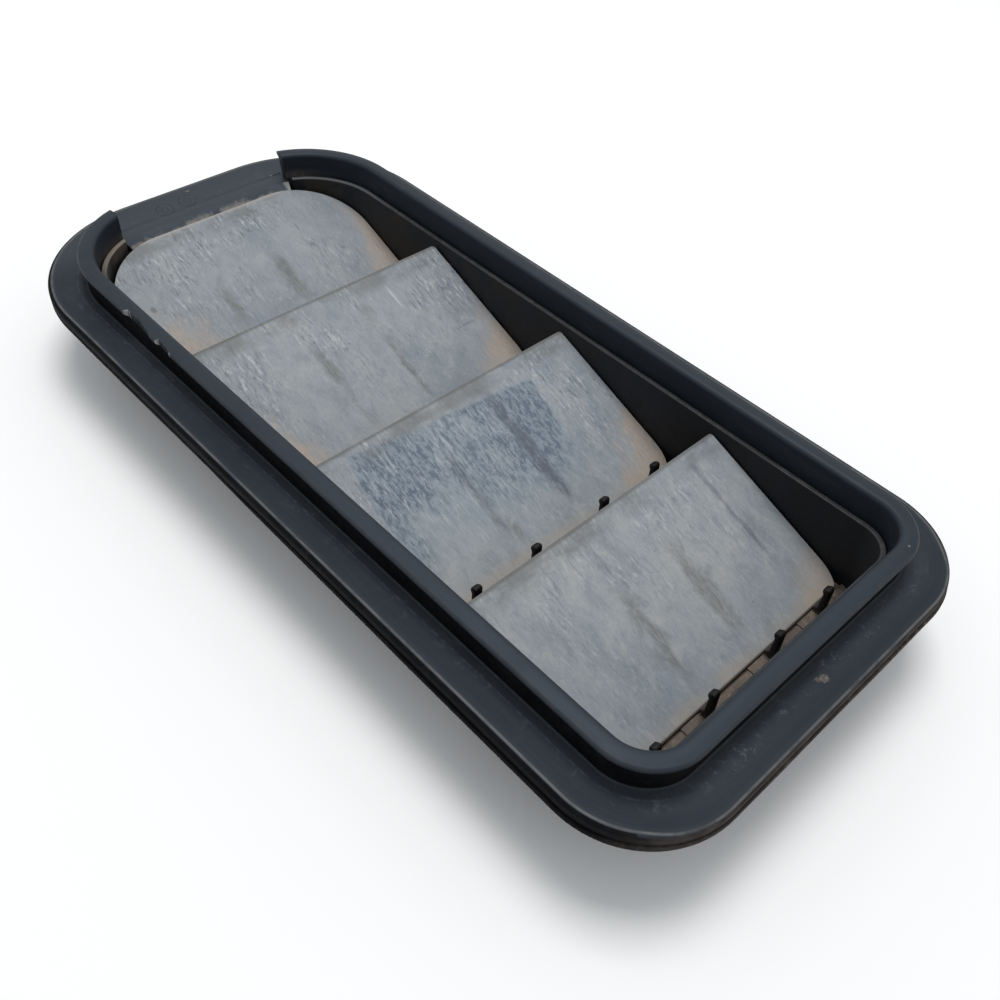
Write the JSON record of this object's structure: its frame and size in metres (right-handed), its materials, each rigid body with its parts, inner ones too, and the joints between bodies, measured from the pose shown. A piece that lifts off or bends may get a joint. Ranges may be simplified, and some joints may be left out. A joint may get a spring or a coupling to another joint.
{
  "type": "louvred air vent",
  "caption": "Panel vent with a collared black frame, inner cassette and hinged grey rubber flaps that open outwards like louvres to release cabin air.",
  "frame": {"origin": "centre of the footprint, at the lowest face, which is the open underside of the cassette", "axes": "+X along the length towards the end where the collar is whole, +Y across, +Z outwards from the car body through the flaps"},
  "size_m": [0.2532, 0.1218, 0.0349],
  "materials": {
    "frame_plastic": "satin blue-grey black, weathered, pale worn edges",
    "cassette_plastic": "matte black with tan dust on its ledges",
    "hook_plastic": "matte black under brown dust",
    "seal_rubber": "matte black gasket with brown dust at the rim",
    "flap_rubber": "grey-blue, wrinkled, streaked with dust and dried water",
    "spring_steel": "plain spring steel"
  },
  "bodies": {
    "vent_frame": {"frame": "frame_plastic", "perimeter_seal": "seal_rubber", "cassette": "cassette_plastic", "seat_grid_1": "cassette_plastic", "seat_grid_2": "cassette_plastic", "seat_grid_3": "cassette_plastic", "seat_grid_4": "cassette_plastic", "hook_bar_1": "hook_plastic", "hook_bar_2": "hook_plastic", "hook_bar_3": "hook_plastic", "hook_bar_4": "hook_plastic", "retaining_clip_1": "spring_steel", "retaining_clip_2": "spring_steel", "retaining_clip_3": "spring_steel", "retaining_clip_4": "spring_steel", "retaining_clip_5": "spring_steel", "retaining_clip_6": "spring_steel"},
    "flap_1": {"flap_1": "flap_rubber"},
    "flap_2": {"flap_2": "flap_rubber"},
    "flap_3": {"flap_3": "flap_rubber"},
    "flap_4": {"flap_4": "flap_rubber"}
  },
  "joints": [
    {"name": "flap_1_hinge", "type": "hinge", "parent": "vent_frame", "child": "flap_1", "pos_m": [-0.0625, 0, 0.00731], "axis": [0, 1, 0], "range_deg": [0, 60]},
    {"name": "flap_2_hinge", "type": "hinge", "parent": "vent_frame", "child": "flap_2", "pos_m": [-0.0077, 0, 0.00731], "axis": [0, 1, 0], "range_deg": [0, 60]},
    {"name": "flap_3_hinge", "type": "hinge", "parent": "vent_frame", "child": "flap_3", "pos_m": [0.0471, 0, 0.00731], "axis": [0, 1, 0], "range_deg": [0, 60]},
    {"name": "flap_4_hinge", "type": "hinge", "parent": "vent_frame", "child": "flap_4", "pos_m": [0.1019, 0, 0.00731], "axis": [0, 1, 0], "range_deg": [0, 60]}
  ]
}
